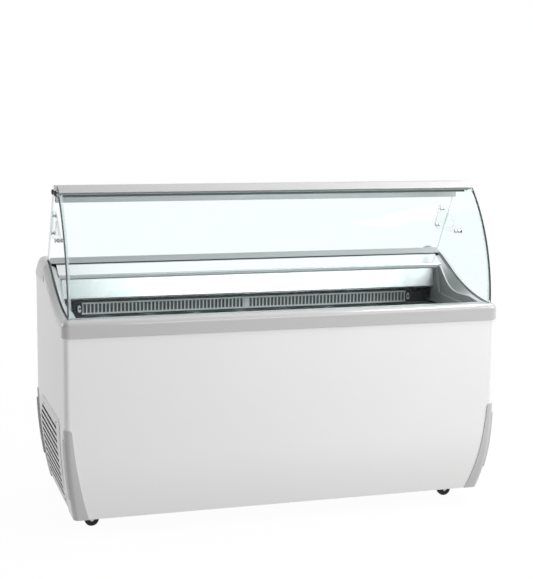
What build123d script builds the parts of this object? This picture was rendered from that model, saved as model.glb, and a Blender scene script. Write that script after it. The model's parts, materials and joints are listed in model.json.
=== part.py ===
from build123d import *
import math
import os

# Ice cream dipping cabinet: insulated body with curved glass top, built as separate pieces.
# Millimetres. X runs along the front, -Y is the customer side, Z is up, z = 0 is the floor.
# The origin is the centre of the footprint.

# ---- overall sizes ----
WIDTH = 1553.0
DEPTH = 676.0
HALF_W = WIDTH / 2
HALF_D = DEPTH / 2
PROUD = 5.0  # the front rim stands this far outside the panels
PANEL_X = HALF_W - PROUD
PANEL_Y = HALF_D - PROUD
SHEET = 2.0  # casing panels
GAP = 0.5  # seam between neighbouring panels
BODY_BOTTOM = 60.0
TRAY_BOTTOM = 66.0
BODY_HIGH = 1000.0  # above every casing panel, so that each one is trimmed to its own top
CORNER_R = 18.0  # upright corners of the casing

# ---- lower body taper ----
SIDE_CURVE_TOP = 390.0
SIDE_CURVE_R = 1530.0
END_CURVE_TOP = 270.0
END_CURVE_R = 571.0

# ---- rims ----
RIM_BOTTOM = 687.0
RIM_TOP = 745.0
RIM_WALL = 3.0
RIM_BACK = -285.0  # inner edge of the front rim
RIM_SPLIT = -300.0  # front rim ends, side rims begin
CAP_SPLIT = 122.0  # side rims end, end caps begin
CAP_BOTTOM = 806.0
SIDE_RIM_X = HALF_W - 3.0
RIDGE_X = 746.0  # inner face of the side rims
BAND = 34.0  # height of the rounded shoulder on the side rims
RIDGE_LOW = 650.0
RIM_CREST_R = 20.0  # rounding along the top of the front rim
RIM_END_R = 26.0  # rounding of its upright ends
SHOULDER_R = 22.0  # rounding along the outside of the side rims

# ---- corner guards ----
GUARD_THICK = 3.0
GUARD_TOP = 380.0
GUARD_ROUND = 6.0  # small corner at the top of each guard
PAD_THICK = 4.0
PAD_Z = (140.0, 345.0)
PAD_EDGE = 6.0  # the pad stops this far behind the front wall
PAD_INSET = 12.0  # and this far inside the rear edge of the guard

# ---- openings in the casing ----
REAR_LOUVRES = 9
REAR_LOUVRE_PITCH = 20.0
REAR_LOUVRE_HIGH = 10.0
VENT_LOUVRES = 11
VENT_PITCH = 23.5
VENT_SLOT = 13.0
VENT_TOP = 388.0
VENT_LOW = 76.0
VENT_BORDER = 18.0
VENT_SCREWS = [(150.0, 362.0), (-150.0, 366.0), (-150.0, 92.0), (200.0, 92.0)]

# ---- glass ----
GLASS = 6.0
GLASS_R = 543.0  # outer face of the front glass
GLASS_Y = 222.5  # centre of that radius
GLASS_Z = 738.6
GLASS_FOOT = 0.8  # degrees above the horizontal at the lower edge
GLASS_HEAD = 50.6  # the same at the upper edge
SIDE_GLASS_X = 748.0  # inner face
SIDE_GLASS_TOP = 1145.0
GLASS_REST = 8.0  # the side glass sinks this far into the ridge
SEAL_DEPTH = 12.0
SEAL_X = 755.2  # outer face of the seal
SEAL_PROUD = 0.5
PROFILE_LOW = 47.9  # degrees, lower edge of the aluminium profile on the glass
PROFILE_HIGH = 51.3
PROFILE_LIP = 2.3
CANOPY_BOLTS = [(-28.0, 1137.0), (-85.0, 1137.0)]
BRACKET_X = (735.0, 741.0)
BRACKET_BOLTS = [(75.0, 1045.0), (114.0, 980.0)]
BRACKET_GLASS_BOLT = (-56.0, 974.0)
BOLT_R = 3.0

# ---- canopy over the glass ----
CANOPY_FRONT = -102.0
CANOPY_BACK = -33.0
CANOPY_LOW = 1146.0
CANOPY_TOP = 1164.5
CANOPY_X = 754.0
CANOPY_WALL = 2.5
HINGE_Y = -104.0
HINGE_Z = 1155.5
HINGE_PIN_R = 2.5
LUG_R = 4.8
BLOCK_IN = 736.0  # inner face of the end blocks
BLOCK_OUT = 747.5
TOP_RAIL_Y = (-19.0, 0.0)
TOP_RAIL_Z = (1099.0, 1119.0)

# ---- cold well ----
TUB_X = 715.0
TUB_FRONT = -290.0
TUB_BACK = 158.0
TUB_FLOOR = 400.0
DUCT_FRONT = 160.5
DUCT_BACK = 271.0
DUCT_FLOOR = 560.0
PARTITION_TOP = 676.0
TUB_WALL = 2.0
FLANGE_BACK = 328.0  # the well's rear flange ends here
FOAM_BOTTOM = 342.0
FOAM_GAP = 0.2
LINER_LOW = 690.0
LINER_STEP = 723.0
LINER_SLOPE = 729.0
DECK_X = 728.0
DECK_SHEET = 1.5
DECK_Z = 868.0  # middle of the worktop sheet under the rear rail
FLAT_Z = 868.6  # the same behind the rail
RAIL_FRONT = 114.0
RAIL_REAR = 136.0
PAN_BARS = 9
FRAME_Z = (640.0, 643.0)
RAIL_DEPTH = 48.0
BAR_HALF = 9.0

# ---- air outlet and evaporator ----
OUTLET_Y = (159.0, 161.0)
OUTLET_Z = (677.0, 721.0)
OUTLET_END = 631.0
DIVIDER_X = (-22.0, -8.0)
SLOT_PITCH = 14.0
SLOT_WIDTH = 9.0
SLOT_MARGIN = 6.0
COIL_X = 400.0
EVAP_FAN_R = 42.0
EVAP_FAN_Y = 216.0
EVAP_FAN_Z = 625.0

# ---- condenser fan and rear controls ----
FAN_Y = 30.0
FAN_Z = 212.0
FAN_R = 100.0
CONTROL_X = (-690.0, -450.0)
CONTROL_Z = (326.0, 414.0)
CONTROL_Y = (PANEL_Y, PANEL_Y + 3.0)
KEY_X = (-560.0, -540.0)
KEY_Z = 366.0
KEY_SIZE = (12.0, 9.0)
KEY_GAP = 0.4
SWITCH_X = -495.0
SWITCH_Z = 372.0
SWITCH_REST = 8.0  # degrees of tilt in the off position

# ---- castors ----
CASTOR_X = 640.0
CASTOR_Y = (-176.0, 176.0)
TRAIL = 20.0
WHEEL_R = 25.0
WHEEL_HALF = 9.0
AXLE_R = 3.0
RUNNING = 0.05  # radial clearance of every turning fit
FORK_TOP = 56.0

pieces = {}


def keep(name, shape):
    """Record one named piece for export; a list becomes a group of separate solids."""
    if isinstance(shape, (list, tuple)):
        shape = Compound(children=[solid for item in shape for solid in item.solids()])
    pieces[name] = shape


def block(x, y, z):
    """Box between two limits on each axis."""
    centre = Pos((x[0] + x[1]) / 2, (y[0] + y[1]) / 2, (z[0] + z[1]) / 2)
    return centre * Box(x[1] - x[0], y[1] - y[0], z[1] - z[0])


def across(face, x_low, x_high):
    """Extrude a face drawn in (y, z) along X."""
    return extrude(Plane.YZ.offset(x_low) * face, amount=x_high - x_low)


def through(face, y_low, y_high):
    """Extrude a face drawn in (x, z) along Y."""
    return extrude(Plane.XZ.offset(-y_high) * face, amount=y_high - y_low)


def upright(face, z_low, z_high):
    """Extrude a face drawn in (x, y) along Z."""
    return extrude(Plane.XY.offset(z_low) * face, amount=z_high - z_low)


def rod(start, end, radius):
    """Round bar between two points."""
    axis = Vector(*end) - Vector(*start)
    return extrude(Plane(origin=start, z_dir=axis) * Circle(radius), amount=axis.length)


def polygon(*points):
    """Face inside straight edges."""
    return make_face(Polyline(*points, close=True))


def rounded(points, radius):
    """Face inside straight edges with every corner rounded."""
    return fillet(polygon(*points).vertices(), radius)


def both_sides(shape):
    """The piece and its mirror image across the middle."""
    return [shape, mirror(shape, about=Plane.YZ)]


def strip(points, radius, thickness, x_low, x_high):
    """Folded sheet that follows a line of rounded bends in (y, z)."""
    return across(trace(FilletPolyline(*points, radius=radius), thickness), x_low, x_high)


# ---- shared body shapes ----
def tapered_face(half_width, curve_top, radius, high):
    """Upright outline that curves inwards from curve_top down to the bottom of the body."""

    def edge_at(z):
        return half_width - radius + math.sqrt(radius**2 - (curve_top - z) ** 2)

    middle = (BODY_BOTTOM + curve_top) / 2
    corners = [(half_width, high), (half_width, curve_top)]
    foot = (edge_at(BODY_BOTTOM), BODY_BOTTOM)
    edges = []
    for side in (1, -1):
        top, knee = [(side * x, z) for x, z in corners]
        toe = (side * foot[0], foot[1])
        edges.append(Line(top, knee))
        edges.append(ThreePointArc(knee, (side * edge_at(middle), middle), toe))
    edges.append(Line((-half_width, high), (half_width, high)))
    edges.append(Line((-foot[0], foot[1]), foot))
    return make_face(edges)


def side_outline(grow):
    """Solid bounded by the front and back walls, grown by a distance."""
    face = tapered_face(PANEL_Y + grow, END_CURVE_TOP, END_CURVE_R, BODY_HIGH)
    return across(face, -HALF_W - 100, HALF_W + 100)


def front_outline(grow):
    """Solid bounded by the two side walls, grown by a distance."""
    face = tapered_face(PANEL_X + grow, SIDE_CURVE_TOP, SIDE_CURVE_R, BODY_HIGH)
    return through(face, -HALF_D - 100, HALF_D + 100)


def body(grow):
    """The whole body with rounded upright corners, grown by a distance."""
    solid = side_outline(grow) & front_outline(grow)
    corners = [
        edge
        for edge in solid.edges()
        if abs(edge.center().X) > 600 and abs(edge.center().Y) > 250 and edge.length > 50
        and abs((edge @ 0).Z - (edge @ 1).Z) > 50
    ]
    return fillet(corners, CORNER_R + grow)


def ridge_line(drop):
    """Top line of the side walls: low at the front, an S up to the hump, then down at the back."""
    rise = [(-345, 743), (-164, 762), (-11, 811), (127, 872)]
    hump = [(195, 887), (268, 872), (318, 840), (HALF_D, CAP_BOTTOM)]
    lowered = [(y, z - drop) for y, z in rise + hump]
    return Spline(*lowered, tangents=[(1, 0.02), (0, -1)])


def under_ridge(drop, x_low, x_high):
    """Everything below the ridge line, lowered by a distance."""
    line = ridge_line(drop)
    start, end = line @ 0, line @ 1
    low = RIDGE_LOW - 50
    sides = [
        Line((end.X, end.Y), (end.X, low)),
        Line((end.X, low), (start.X, low)),
        Line((start.X, low), (start.X, start.Y)),
    ]
    return across(make_face([line, *sides]), x_low, x_high)


BODY = body(0)
INSIDE = body(-SHEET)


# ---- casing ----
def casing_panels():
    """Front, back and side sheets, split just behind the rounded corners."""
    skin = BODY - INSIDE
    middle = side_outline(-CORNER_R - SHEET)
    middle_tight = side_outline(-CORNER_R - SHEET - GAP)
    ends = skin - middle
    front = ends & block((-HALF_W, HALF_W), (-HALF_D, 0), (0, 700))
    back = ends & block((-HALF_W, HALF_W), (0, HALF_D), (0, CAP_BOTTOM))
    sides = skin & middle_tight & under_ridge_or_body(BAND)
    sides -= block((-HALF_W, HALF_W), (CAP_SPLIT, HALF_D), (CAP_BOTTOM, BODY_HIGH))
    left = sides & block((-HALF_W, 0), (-HALF_D, HALF_D), (0, BODY_HIGH))
    right = mirror(left, about=Plane.YZ)
    keep("front_panel", front)
    back -= rear_openings()
    keep("rear_panel", back)
    left -= across(vent_face(14), -HALF_W, -600)
    keep("side_panel_left", left)
    keep("side_panel_right", right)


def under_ridge_or_body(drop):
    """The region below the ridge, carried down to the floor."""
    lower = block((-HALF_W, HALF_W), (-HALF_D, HALF_D), (0, RIDGE_LOW))
    return under_ridge(drop, -HALF_W, HALF_W) + lower


def rear_openings():
    """Louvres for the machinery and the cut-out behind the control panel."""
    slots = []
    for i in range(REAR_LOUVRES):
        z = 120 + REAR_LOUVRE_PITCH * i
        slots.append(block((-360, -120), (HALF_D - 60, HALF_D), (z, z + REAR_LOUVRE_HIGH)))
    return slots + [block((-672, -468), (HALF_D - 40, HALF_D), (338, 402))]


def guard_windows(front):
    """The parts of the wall that one pair of corner guards leaves open."""
    low, knee, high = 50, GUARD_TOP - GUARD_ROUND, GUARD_TOP + 40
    outline = [Line((-685, low), (685, low))]
    for side in (1, -1):
        top = (side * 748, knee)
        corner = (side * (748 + GUARD_ROUND), GUARD_TOP)
        outline.append(ThreePointArc((side * 685, low), (side * 728, 220), top))
        outline.append(Line(top, corner))
        outline.append(Line(corner, (side * (748 + GUARD_ROUND), high)))
    outline.append(Line((-748 - GUARD_ROUND, high), (748 + GUARD_ROUND, high)))
    wide = make_face(outline)
    foot, bend = (-176, -258) if front else (-232, -285)
    deep = make_face(
        [
            ThreePointArc((foot, low), (bend, 235), (-297, 352)),
            Line((-297, 352), (-318, GUARD_TOP + 4)),
            Line((-318, GUARD_TOP + 4), (-318, high)),
            Line((-318, high), (400, high)),
            Line((400, high), (400, low)),
            Line((400, low), (foot, low)),
        ]
    )
    return through(wide, -400, 400) + across(deep, -900, 900)


def corner_guards():
    """Grey mouldings that wrap the lower corners, each with a raised rubbing pad on the side."""
    shell = body(GUARD_THICK) - BODY
    shell &= block((-900, 0), (-400, 0), (BODY_BOTTOM, GUARD_TOP))
    pad_skin = body(GUARD_THICK + PAD_THICK) - BODY
    pad_skin &= block((-900, 0), (-400, 0), PAD_Z)
    pad_skin &= side_outline(-PAD_EDGE)
    for name, front in (("corner_guards_front", True), ("corner_guards_rear", False)):
        open_part = guard_windows(front)
        pad = pad_skin - Pos(0, -PAD_INSET, 0) * open_part
        guard = (shell - open_part) + pad
        if not front:
            guard = mirror(guard, about=Plane.XZ)
        keep(name, both_sides(guard))


def rim_bar(inset, bottom):
    """Solid of the front rim, with all its outer faces moved inwards by a distance."""
    bar = block(
        (-HALF_W + inset, HALF_W - inset),
        (-HALF_D + inset, RIM_BACK - inset),
        (bottom, RIM_TOP - inset),
    )
    uprights = bar.edges().filter_by(Axis.Z).group_by(Axis.Y)[0]
    bar = fillet(uprights, RIM_END_R - inset)
    top = bar.faces().sort_by(Axis.Z)[-1]
    crest = [edge for edge in top.edges() if edge.center().Y < RIM_SPLIT]
    return fillet(crest, RIM_CREST_R - inset)


def front_rim():
    """Rounded moulding along the top of the front panel, hollow underneath."""
    rim = rim_bar(0, RIM_BOTTOM) - rim_bar(RIM_WALL, RIM_BOTTOM - 1)
    for side in (-1, 1):
        x = sorted((side * (RIDGE_X - GAP), side * (HALF_W + 1)))
        rim -= block(x, (RIM_SPLIT, RIM_BACK + 1), (RIM_BOTTOM - 1, RIM_TOP + 1))
    for channel in both_sides(seal_channel()):
        rim -= channel
    keep("front_rim", rim)


def seal_channel():
    """Channel for the left side glass and its seal, along the ridge."""
    above = block((-SEAL_X, -RIDGE_X), (-314, 152), (700, 900))
    return above - under_ridge(SEAL_DEPTH, -SEAL_X - 1, -RIDGE_X + 1)


def side_mouldings():
    """Side rims with a rounded shoulder, and the humped end caps behind them."""
    ridge = under_ridge(0, -SIDE_RIM_X, -RIDGE_X)
    curves = ridge.edges().filter_by(GeomType.BSPLINE)
    outer_edge = curves.sort_by(Axis.X)[0]
    ridge = fillet(outer_edge, SHOULDER_R)
    ridge -= seal_channel()
    rim = ridge & block((-HALF_W, 0), (RIM_SPLIT, CAP_SPLIT), (RIDGE_LOW, BODY_HIGH))
    rim -= under_ridge(BAND, -HALF_W, 0)
    cap = ridge & block((-HALF_W, 0), (CAP_SPLIT + GAP, HALF_D), (CAP_BOTTOM, BODY_HIGH))
    keep("side_rim_left", rim)
    keep("side_rim_right", mirror(rim, about=Plane.YZ))
    keep("end_cap_left", cap)
    keep("end_cap_right", mirror(cap, about=Plane.YZ))


def base_tray():
    """Folded floor tray that carries the machinery and the castors."""
    width, depth = (-HALF_W, HALF_W), (-HALF_D, HALF_D)
    tray = body(-SHEET - FOAM_GAP) & block(width, depth, (TRAY_BOTTOM, 100))
    tray -= body(-2 * SHEET - FOAM_GAP) & block(width, depth, (TRAY_BOTTOM + SHEET, 101))
    keep("base_tray", tray)


# ---- vent grille on the left side ----
def vent_face(inset):
    """Outline of the side vent: slanted front and back, rounded upper corners."""
    corners = [
        (-174 + inset, VENT_LOW + inset),
        (-220 + inset, 318),
        (-220 + inset, VENT_TOP - inset),
        (190 - inset, VENT_TOP - inset),
        (262 - inset, 300),
        (226 - inset, VENT_LOW + inset),
    ]
    face = polygon(*corners)
    upper = [corner for corner in face.vertices() if corner.Y > VENT_TOP - inset - 1]
    return fillet(upper, 36)


def side_vent():
    """Louvred grille that follows the curved left wall, with its four screws."""
    plate = (body(SHEET) - BODY) & across(vent_face(0), -HALF_W, -600)
    opening = across(vent_face(VENT_BORDER), -HALF_W, -600)
    opening &= block((-HALF_W, 0), (-148, HALF_D), (0, BODY_HIGH))
    for i in range(VENT_LOUVRES):
        z = 101 + VENT_PITCH * i
        plate -= opening & block((-HALF_W, -600), (-HALF_D, HALF_D), (z, z + VENT_SLOT))
    screws = []
    for y, z in VENT_SCREWS:
        wall = PANEL_X - SIDE_CURVE_R + math.sqrt(SIDE_CURVE_R**2 - (SIDE_CURVE_TOP - z) ** 2)
        screw = rod((-wall - SHEET - 2.0, y, z), (-wall + SHEET - 0.5, y, z), 2.5)
        screw += rod((-wall - SHEET - 2.5, y, z), (-wall - SHEET, y, z), 4.5)
        plate -= screw
        screws.append(screw)
    pieces["side_panel_left"] -= screws
    keep("side_vent_grille", plate)
    keep("vent_screws", screws)


# ---- cold well ----
def insulation():
    """Foam between the casing and the well."""
    foam = body(-SHEET - FOAM_GAP) & under_ridge_or_body(BAND + FOAM_GAP)
    foam &= block((-HALF_W, HALF_W), (-HALF_D, HALF_D), (FOAM_BOTTOM, BODY_HIGH))
    reach = (-TUB_X - TUB_WALL, TUB_X + TUB_WALL)
    foam -= block(reach, (TUB_FRONT - TUB_WALL, DUCT_FRONT), (TUB_FLOOR - TUB_WALL, BODY_HIGH))
    foam -= block(reach, (TUB_BACK, DUCT_BACK + TUB_WALL), (DUCT_FLOOR - TUB_WALL, BODY_HIGH))
    foam -= block((-HALF_W, HALF_W), (-HALF_D, RIM_BACK), (RIM_BOTTOM, BODY_HIGH))
    foam -= block((-RIDGE_X, RIDGE_X), (-HALF_D, HALF_D), (LINER_LOW, BODY_HIGH))
    foam -= block((-RIDGE_X, RIDGE_X), (DUCT_BACK, HALF_D), (RIM_BOTTOM - TUB_WALL - FOAM_GAP, BODY_HIGH))
    foam -= block((-HALF_W, HALF_W), (CAP_SPLIT, HALF_D), (CAP_BOTTOM, BODY_HIGH))
    foam -= block((-690, -450), (290, HALF_D), (FOAM_BOTTOM - 1, 420))
    keep("insulation_foam", foam)


def tub_liner():
    """Steel well with a raised duct floor behind it, a low partition between and a rear flange."""
    reach = (-TUB_X - TUB_WALL, TUB_X + TUB_WALL)
    width = (-TUB_X, TUB_X)
    tub = block(reach, (TUB_FRONT - TUB_WALL, DUCT_FRONT), (TUB_FLOOR - TUB_WALL, RIM_BOTTOM))
    tub += block(reach, (TUB_BACK, DUCT_BACK + TUB_WALL), (DUCT_FLOOR - TUB_WALL, RIM_BOTTOM))
    tub -= block(width, (TUB_FRONT, TUB_BACK), (TUB_FLOOR, LINER_LOW + 1))
    tub -= block(width, (DUCT_FRONT, DUCT_BACK), (DUCT_FLOOR, LINER_LOW + 1))
    tub -= block(width, (TUB_BACK - 1, DUCT_FRONT + 1), (PARTITION_TOP, LINER_LOW + 1))
    flange = (RIM_BOTTOM - TUB_WALL, RIM_BOTTOM)
    tub += block((-RIDGE_X + GAP, RIDGE_X - GAP), (DUCT_BACK + GAP, FLANGE_BACK), flange)
    drain = rod((0, -60, TUB_FLOOR - TUB_WALL - 1), (0, -60, TUB_FLOOR + 1), 14)
    keep("tub_liner", tub - drain)
    plug = rod((0, -60, TUB_FLOOR), (0, -60, TUB_FLOOR + 4), 20)
    plug += rod((0, -60, TUB_FLOOR - TUB_WALL), (0, -60, TUB_FLOOR), 13.8)
    keep("drain_plug", plug)


def region_above(line):
    """Face above a line of one or more edges drawn in (y, z)."""
    start, end = line @ 0, line @ 1
    high = BODY_HIGH
    sides = [
        Line((end.X, end.Y), (end.X, high)),
        Line((end.X, high), (start.X, high)),
        Line((start.X, high), (start.X, start.Y)),
    ]
    return make_face([*line.edges(), *sides])


def side_liners():
    """Moulded inner ends: a slope down from the glass line, then two raised contour steps."""
    liner = under_ridge(1, -RIDGE_X + 0.5, -TUB_X)
    liner &= block((-HALF_W, 0), (RIM_BACK, 112), (LINER_LOW, BODY_HIGH))
    crest = Spline((-345, 742), (-164, 761), (-11, 810), (127, 871))
    contour = Spline((-345, 741), (-120, 750), (-33, 765), (40, 818), (127, 862))
    outer = Plane.YZ.offset(-RIDGE_X + 0.5) * region_above(crest)
    inner = Plane.YZ.offset(-LINER_SLOPE) * region_above(contour)
    liner -= loft([outer, inner], ruled=True)
    liner -= across(region_above(contour), -LINER_SLOPE, -TUB_X + 1)
    step_line = FilletPolyline((-345, 718), (17, 726), (40, 732), (68, 830), (130, 870), radius=8)
    liner -= across(region_above(step_line), -LINER_STEP, -TUB_X + 1)
    under_deck = polygon((56, 822), (56, 840), (112, 872), (130, 900), (130, 822))
    liner -= across(under_deck, -DECK_X - 1.5, -TUB_X + 1)
    keep("side_liner_left", liner)
    keep("side_liner_right", mirror(liner, about=Plane.YZ))


def rear_worktop():
    """Steel worktop behind the well: turned front edge, slope, flat and a turned rear edge."""
    front = [(59, 824), (59, 836), (RAIL_FRONT - 1, DECK_Z), (RAIL_REAR + 4, DECK_Z)]
    back = [(RAIL_REAR - 10, FLAT_Z), (258, FLAT_Z), (311, 842), (335, 815), (335, 800)]
    slope = strip(front, 4, DECK_SHEET, -DECK_X, DECK_X)
    flat = strip(back, 6, DECK_SHEET, -RIDGE_X + 1, RIDGE_X - 1)
    flat &= block((-HALF_W, HALF_W), (RAIL_REAR + 1, HALF_D), (700, 900))
    keep("rear_worktop", slope + flat)


def inner_back_wall():
    """Leaning steel wall under the worktop, above the air outlet."""
    line = [(64, 821), (92, 821), (82, 744), (140, 744)]
    wall = strip(line, 5, DECK_SHEET, -TUB_X + 1, TUB_X - 1)
    keep("inner_back_wall", wall)


# ---- air outlet ----
def air_outlet():
    """Two slotted grilles with a strip between them, and a perforated plate with a clip at each end."""
    left = slotted_grille(-OUTLET_END, DIVIDER_X[0])
    right = slotted_grille(DIVIDER_X[1], OUTLET_END)
    divider = block((DIVIDER_X[0] + GAP, DIVIDER_X[1] - GAP), (OUTLET_Y[0] - 1, OUTLET_Y[1]), OUTLET_Z)
    keep("air_outlet_grilles", [left, divider, right])
    plate = block((-TUB_X + 1, -OUTLET_END - 1), OUTLET_Y, OUTLET_Z)
    for i in range(5):
        for k in range(3):
            x, z = -700 + 11 * i, 683 + 12 * k
            plate -= block((x, x + 7), (OUTLET_Y[0] - 1, OUTLET_Y[1] + 1), (z, z + 8))
    clip = block((-OUTLET_END - 18, -OUTLET_END + 2), (OUTLET_Y[0] - 3, OUTLET_Y[0]), (684, 714))
    clip = fillet(clip.edges().filter_by(Axis.Y), 3)
    clip += rod((-OUTLET_END - 8, OUTLET_Y[0] - 5, 699), (-OUTLET_END - 8, OUTLET_Y[0] - 3, 699), 4)
    keep("air_outlet_ends", [*both_sides(plate), *both_sides(clip)])


def slotted_grille(x_low, x_high):
    """Outlet plate between two limits, with a row of upright slots."""
    grille = block((x_low, x_high), OUTLET_Y, OUTLET_Z)
    count = int((x_high - x_low - SLOT_MARGIN) / SLOT_PITCH)
    start = (x_low + x_high - SLOT_PITCH * (count - 1) - SLOT_WIDTH) / 2
    for i in range(count):
        x = start + SLOT_PITCH * i
        grille -= block(
            (x, x + SLOT_WIDTH),
            (OUTLET_Y[0] - 1, OUTLET_Y[1] + 1),
            (OUTLET_Z[0] + SLOT_MARGIN, OUTLET_Z[1] - SLOT_MARGIN),
        )
    return grille


def pan_frame():
    """Frame of rails, bars and legs that carries the ice cream pans by their rims."""
    front = (TUB_FRONT + 1, TUB_FRONT + RAIL_DEPTH)
    back = (TUB_BACK - RAIL_DEPTH, TUB_BACK - 1)
    frame = [block((-TUB_X + 1, TUB_X - 1), y, FRAME_Z) for y in (front, back)]
    end = TUB_X - BAR_HALF - 2
    for i in range(PAN_BARS):
        x = -end + 2 * end / (PAN_BARS - 1) * i
        frame.append(block((x - BAR_HALF, x + BAR_HALF), (front[1], back[0]), FRAME_Z))
    for x in (-end, end):
        for y in (front[0] + 1, back[1] - 4):
            frame.append(block((x - BAR_HALF, x + BAR_HALF), (y, y + 3), (TUB_FLOOR, FRAME_Z[0])))
    keep("pan_frame", frame)


# ---- evaporator in the duct ----
def finned_coil(x, y, z, fins, tubes, stub, along_x):
    """Fin pack on parallel tubes that stick out by a stub; they run along X or along Y."""
    low, high = (x if along_x else y)
    pitch = (high - low - 1) / (fins - 1)
    pack = []
    for i in range(fins):
        at = (low + pitch * i, low + pitch * i + 1)
        pack.append(block(at, y, z) if along_x else block(x, at, z))
    solid = None
    for u, w in tubes:
        if along_x:
            tube = rod((low - stub, u, w), (high + stub, u, w), 5)
        else:
            tube = rod((u, low - stub, w), (u, high + stub, w), 5)
        solid = tube if solid is None else solid + tube
    return solid + pack


def evaporator():
    """Finned coil in the air duct with a fan at each end."""
    tubes = [(y, z) for y in (195, 237) for z in (590, 625, 660)]
    coil = finned_coil((-COIL_X, COIL_X), (178, 254), (568, 682), 54, tubes, 4, True)
    keep("evaporator_coil", coil)
    housing = block((-446, -443), (167, 265), (562, 690))
    housing -= rod((-450, EVAP_FAN_Y, EVAP_FAN_Z), (-440, EVAP_FAN_Y, EVAP_FAN_Z), EVAP_FAN_R + 3)
    motor = rod((-440, EVAP_FAN_Y, EVAP_FAN_Z), (-422, EVAP_FAN_Y, EVAP_FAN_Z), 17)
    arm_z = (EVAP_FAN_Z - 4, EVAP_FAN_Z + 4)
    arms = block((-440, -437), (167, 265), arm_z)
    arms += block((-443, -437), (167, 172), arm_z)
    arms += block((-443, -437), (260, 265), arm_z)
    shaft = rod((-460, EVAP_FAN_Y, EVAP_FAN_Z), (-440, EVAP_FAN_Y, EVAP_FAN_Z), 2.5)
    housing = housing + motor + arms + shaft
    keep("evaporator_fan_mounts", both_sides(housing))
    fan = fan_wheel(EVAP_FAN_R, 12, 14, 2.5 + RUNNING, 5)
    left = Pos(-452, EVAP_FAN_Y, EVAP_FAN_Z) * fan
    keep("evaporator_fan_left", left)
    keep("evaporator_fan_right", mirror(left, about=Plane.YZ))


def fan_wheel(radius, hub_radius, depth, bore, blades):
    """Axial fan about the X axis, centred on the origin."""
    wheel = rod((-depth / 2, 0, 0), (depth / 2, 0, 0), hub_radius)
    for i in range(blades):
        blade = block((-1, 1), (-radius * 0.24, radius * 0.24), (hub_radius - 2, radius))
        blade = Rotation(0, 0, 32) * blade
        wheel += Rotation(360 / blades * i, 0, 0) * blade
    wheel &= rod((-depth / 2, 0, 0), (depth / 2, 0, 0), radius)
    return wheel - rod((-depth, 0, 0), (depth, 0, 0), bore)


# ---- glass ----
def glass_point(radius, degrees):
    """Point on the curve of the front glass, measured up from the horizontal."""
    angle = math.radians(degrees)
    return (GLASS_Y - radius * math.cos(angle), GLASS_Z + radius * math.sin(angle))


def glass_band(inner, outer, low, high):
    """Face between two radii and two angles of the front glass curve."""
    middle = (low + high) / 2
    a, b = glass_point(outer, low), glass_point(outer, high)
    c, d = glass_point(inner, high), glass_point(inner, low)
    return make_face(
        [
            ThreePointArc(a, glass_point(outer, middle), b),
            Line(b, c),
            ThreePointArc(c, glass_point(inner, middle), d),
            Line(d, a),
        ]
    )


def front_glass():
    """Curved glass in an aluminium top profile with two hinge lugs, and the hinge pins."""
    glass = across(glass_band(GLASS_R - GLASS, GLASS_R, GLASS_FOOT, GLASS_HEAD), -CANOPY_X, CANOPY_X)
    keep("front_glass", glass)
    band = glass_band(GLASS_R - GLASS - PROFILE_LIP, GLASS_R + PROFILE_LIP, PROFILE_LOW, PROFILE_HIGH)
    profile = across(band, -CANOPY_X + 2, CANOPY_X - 2)
    for side in (-1, 1):
        x = sorted((side * 724, side * (BLOCK_IN - 0.5)))
        lug = across(Pos(HINGE_Y, HINGE_Z) * Circle(LUG_R), *x)
        arm = polygon((HINGE_Y, HINGE_Z + LUG_R), (-116, 1158.5), (-121, 1152), (HINGE_Y, HINGE_Z - LUG_R))
        lug += across(arm, *x)
        profile += lug
        profile -= rod((side * 720, HINGE_Y, HINGE_Z), (side * 740, HINGE_Y, HINGE_Z), HINGE_PIN_R + RUNNING)
    profile -= glass
    keep("glass_top_profile", profile)
    pin = rod((-BLOCK_OUT + 2, HINGE_Y, HINGE_Z), (-722, HINGE_Y, HINGE_Z), HINGE_PIN_R)
    pin += rod((-723.5, HINGE_Y, HINGE_Z), (-722, HINGE_Y, HINGE_Z), HINGE_PIN_R + 1.5)
    keep("hinge_pins", both_sides(pin))


def side_glass():
    """Flat side glass in its seal: straight leaning rear edge, front edge parallel to the front glass."""
    outline = polygon((-335, 650), (278.5, 650), (9, 1115), (-22, SIDE_GLASS_TOP), (-335, SIDE_GLASS_TOP))
    x = (-SIDE_GLASS_X - GLASS, -SIDE_GLASS_X)
    glass = across(outline, *x)
    glass &= across(Pos(GLASS_Y, GLASS_Z) * Circle(GLASS_R - GLASS - 2.5), *x)
    glass &= block((-HALF_W, 0), (-311, 200), (600, 1200))
    glass -= under_ridge(GLASS_REST, -HALF_W, 0)
    for y, z in [*CANOPY_BOLTS, BRACKET_GLASS_BOLT]:
        glass -= rod((-HALF_W, y, z), (-700, y, z), BOLT_R + 0.5)
    keep("side_glass_left", glass)
    keep("side_glass_right", mirror(glass, about=Plane.YZ))
    seal = under_ridge(-SEAL_PROUD, -SEAL_X, -RIDGE_X) - under_ridge(SEAL_DEPTH, -SEAL_X - 1, -RIDGE_X + 1)
    seal &= block((-HALF_W, 0), (-313, 151), (600, 1200))
    seal -= glass
    keep("side_glass_seals", both_sides(seal))


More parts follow.
